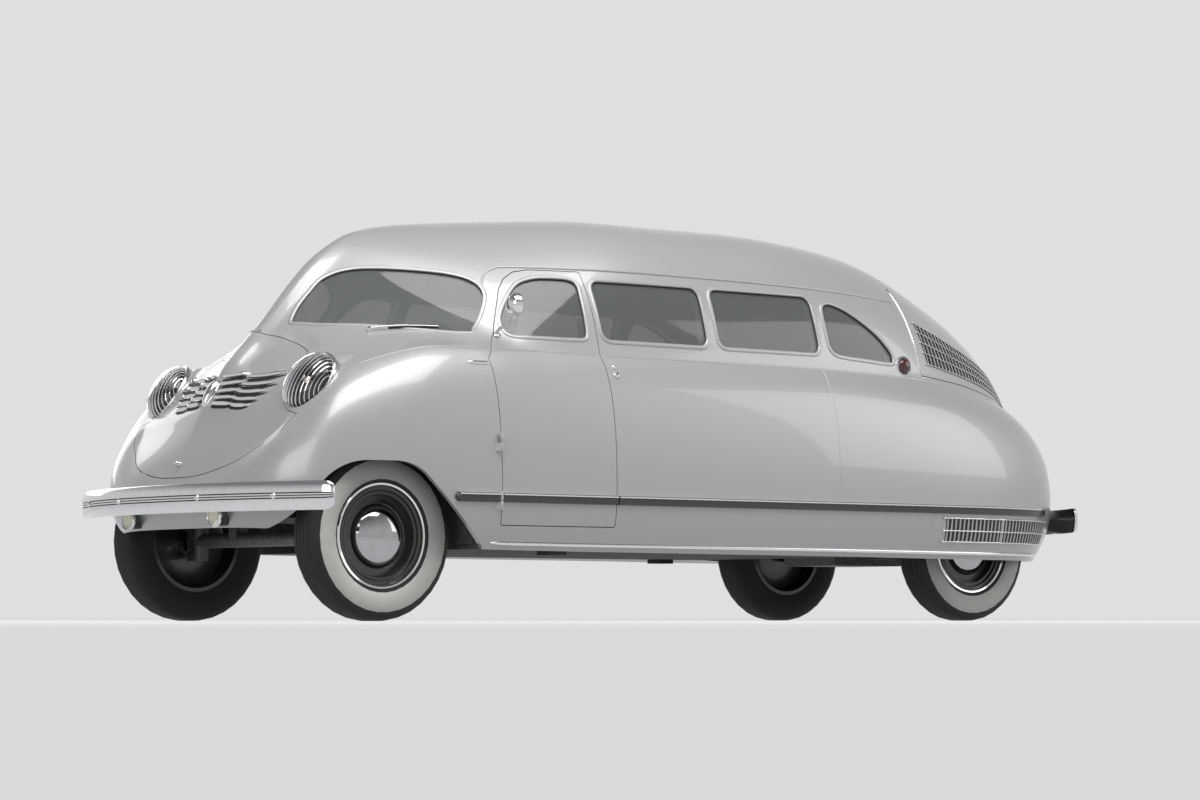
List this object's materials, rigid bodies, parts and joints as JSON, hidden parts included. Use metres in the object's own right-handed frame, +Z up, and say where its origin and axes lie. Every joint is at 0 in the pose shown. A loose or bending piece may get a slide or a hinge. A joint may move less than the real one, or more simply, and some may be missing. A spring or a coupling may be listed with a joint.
{
  "type": "minivan",
  "caption": "Streamlined rear-engined passenger van in the style of the 1930s, with a ridge nose, opening doors and lids, steered front wheels and rolling wheels",
  "frame": {"origin": "on the ground, under the middle of the van's box", "axes": "+X forward, +Y to the van's left, +Z up"},
  "size_m": [4.966, 1.95, 1.8015],
  "materials": {
    "paint": "gloss",
    "chrome": "polished",
    "glass": "gloss",
    "lamp_glass": "gloss",
    "tyre": "matte",
    "wheel": "satin",
    "underbody": "matte",
    "castings": "matte",
    "leather": "satin",
    "trim": "satin",
    "black_rim": "gloss"
  },
  "bodies": {
    "van": {"floor_pan": "underbody", "front_body": "paint", "left_side": "paint", "right_side": "paint", "roof": "paint", "tail_body": "paint", "windscreen": "glass", "side_windows": "glass", "lamps": "lamp_glass", "headlamp_grilles": "chrome", "front_bumper": "chrome", "rear_bumper": "chrome", "rub_rails": "chrome", "sill_strips": "chrome", "corner_vents": "chrome", "hinge_pins": "chrome", "dashboard": "trim", "steering_column": "underbody", "front_seats": "leather", "rear_sofa": "leather", "engine": "castings", "transaxle": "castings", "front_axle": "castings", "rear_axle": "castings"},
    "nose_lid": {"nose_lid": "paint", "nose_grille": "chrome", "nose_lid_leaf": "chrome"},
    "engine_lid": {"engine_lid": "paint", "deck_grille": "chrome", "engine_lid_leaf": "chrome"},
    "driver_door": {"driver_door": "paint", "driver_door_glass": "glass", "driver_door_leaves": "chrome", "driver_door_rail": "chrome", "door_mirror": "chrome"},
    "passenger_door": {"passenger_door": "paint", "passenger_door_glass": "glass", "passenger_door_leaves": "chrome", "passenger_door_rail": "chrome"},
    "steering_wheel": {"steering_wheel": "black_rim"},
    "knuckle_left": {"knuckle_left": "castings"},
    "knuckle_right": {"knuckle_right": "castings"},
    "front_left_wheel": {"tyre_front_left": "tyre", "wheel_front_left": "wheel"},
    "front_right_wheel": {"tyre_front_right": "tyre", "wheel_front_right": "wheel"},
    "rear_left_wheel": {"tyre_rear_left": "tyre", "wheel_rear_left": "wheel"},
    "rear_right_wheel": {"tyre_rear_right": "tyre", "wheel_rear_right": "wheel"}
  },
  "joints": [
    {"name": "driver_door_hinge", "type": "hinge", "parent": "van", "child": "driver_door", "pos_m": [1.37608, 0.9278, 0.61], "axis": [0, 0, -1], "range_deg": [0, 70]},
    {"name": "passenger_door_hinge", "type": "hinge", "parent": "van", "child": "passenger_door", "pos_m": [0.76178, -0.9278, 0.61], "axis": [0, 0, 1], "range_deg": [0, 70]},
    {"name": "nose_lid_hinge", "type": "hinge", "parent": "van", "child": "nose_lid", "pos_m": [1.98441, 0, 1.2348], "axis": [0, -1, 0], "range_deg": [0, 60]},
    {"name": "engine_lid_hinge", "type": "hinge", "parent": "van", "child": "engine_lid", "pos_m": [-1.22412, 0, 1.7298], "axis": [0, 1, 0], "range_deg": [0, 45]},
    {"name": "steer_left", "type": "hinge", "parent": "van", "child": "knuckle_left", "pos_m": [1.87467, 0.59996, 0.3501], "axis": [0, 0, 1], "range_deg": [-28, 28]},
    {"name": "steer_right", "type": "hinge", "parent": "van", "child": "knuckle_right", "pos_m": [1.87467, -0.59996, 0.3501], "axis": [0, 0, 1], "range_deg": [-28, 28]},
    {"name": "steering_wheel_turn", "type": "hinge", "parent": "van", "child": "steering_wheel", "pos_m": [1.24299, 0.4002, 1.0998], "axis": [-0.766, 0, 0.6428], "range_deg": [-336, 336]},
    {"name": "front_left_roll", "type": "hinge", "parent": "knuckle_left", "child": "front_left_wheel", "pos_m": [1.87467, 0.70196, 0.3501], "axis": [0, 1, 0], "continuous": true},
    {"name": "front_right_roll", "type": "hinge", "parent": "knuckle_right", "child": "front_right_wheel", "pos_m": [1.87467, -0.70196, 0.3501], "axis": [0, 1, 0], "continuous": true},
    {"name": "rear_left_roll", "type": "hinge", "parent": "van", "child": "rear_left_wheel", "pos_m": [-1.55436, 0.64992, 0.3501], "axis": [0, 1, 0], "continuous": true},
    {"name": "rear_right_roll", "type": "hinge", "parent": "van", "child": "rear_right_wheel", "pos_m": [-1.55436, -0.64992, 0.3501], "axis": [0, 1, 0], "continuous": true}
  ],
  "couplings": [
    {"joint": "steer_right", "follows": "steer_left", "ratio": 1},
    {"joint": "steering_wheel_turn", "follows": "steer_left", "ratio": 12}
  ]
}
